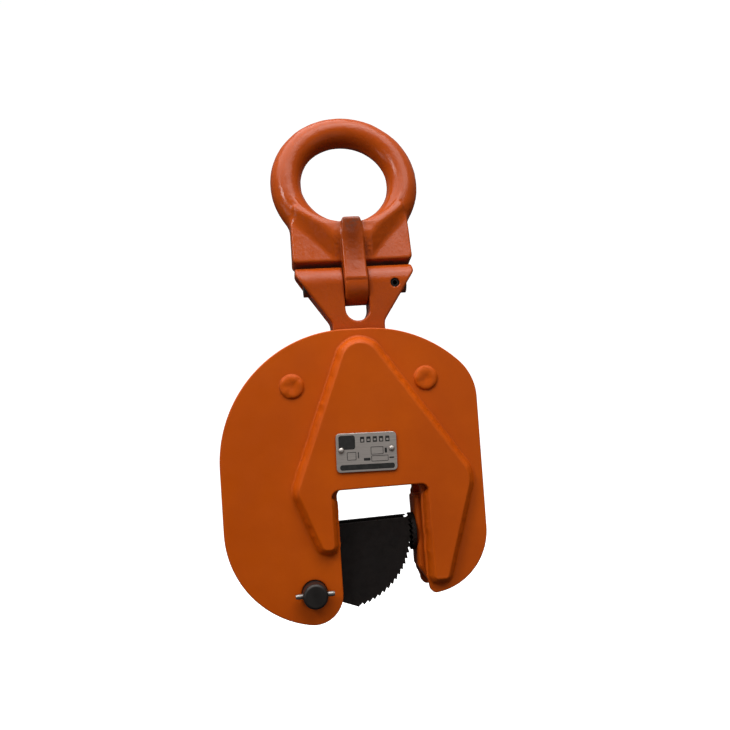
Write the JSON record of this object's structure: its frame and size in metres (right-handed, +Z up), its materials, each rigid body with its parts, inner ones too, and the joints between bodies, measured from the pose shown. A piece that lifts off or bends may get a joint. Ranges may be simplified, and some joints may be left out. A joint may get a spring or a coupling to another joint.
{
  "type": "plate lifting clamp",
  "caption": "Vertical plate lifting clamp: hinged lifting eye on a sliding pull plate that closes a toothed cam against a serrated pad in the jaw of a two-plate body.",
  "frame": {"origin": "the hook seat: the point inside the top of the lifting eye's ring where a crane hook carries it", "axes": "+Z up along the load line, -Y out of the front with the rating plate, +X towards the fixed jaw"},
  "size_m": [0.1549, 0.0615, 0.3115],
  "materials": {
    "eye_paint": "gloss orange enamel over a forging",
    "plate_paint": "satin orange enamel",
    "black_oxide": "black oxide",
    "pin_black": "black oxide, lightly worn",
    "bright_steel": "bare steel",
    "spring_steel": "oiled spring steel",
    "label_metal": "printed aluminium, satin"
  },
  "bodies": {
    "eye": {"lifting_eye": "eye_paint"},
    "pull": {"pull_plate": "eye_paint", "hinge_pin": "pin_black", "hinge_roll_pin": "pin_black", "upper_link_pin": "bright_steel"},
    "body": {"front_side_plate": "plate_paint", "rear_side_plate": "plate_paint", "front_reinforcement_plate": "plate_paint", "rear_reinforcement_plate": "plate_paint", "left_spacer_rivet": "plate_paint", "right_spacer_rivet": "plate_paint", "jaw_block": "plate_paint", "jaw_pad": "black_oxide", "jaw_pad_screw": "pin_black", "cam_pin": "pin_black", "cam_pin_front_roll_pin": "bright_steel", "cam_pin_rear_roll_pin": "bright_steel", "closing_spring": "spring_steel", "spring_anchor_pin": "plate_paint", "rating_plate": "label_metal", "rating_plate_left_pin": "label_metal", "rating_plate_right_pin": "label_metal"},
    "cam": {"cam": "black_oxide", "lower_link_pin": "bright_steel"},
    "link": {"connecting_link": "bright_steel"}
  },
  "joints": [
    {"name": "eye_hinge", "type": "hinge", "parent": "eye", "child": "pull", "pos_m": [0, -0.02359, -0.0946], "axis": [1, 0, 0], "range_deg": [-104, 76]},
    {"name": "body_slide", "type": "slide", "parent": "pull", "child": "body", "axis": [0, 0, 1], "range_m": [0, 0.0135], "deforming": ["closing_spring"]},
    {"name": "cam_pivot", "type": "hinge", "parent": "body", "child": "cam", "pos_m": [-0.0377, -0.02359, -0.2741], "axis": [0, -1, 0], "range_deg": [0, 43]},
    {"name": "link_pivot", "type": "hinge", "parent": "pull", "child": "link", "pos_m": [-0.016, -0.02359, -0.1708], "axis": [0, -1, 0], "range_deg": [-3.2, 0]}
  ],
  "couplings": [
    {"joint": "cam_pivot", "follows": "body_slide", "rad_per_m": 54.756},
    {"joint": "link_pivot", "follows": "body_slide", "rad_per_m": -3.932}
  ]
}
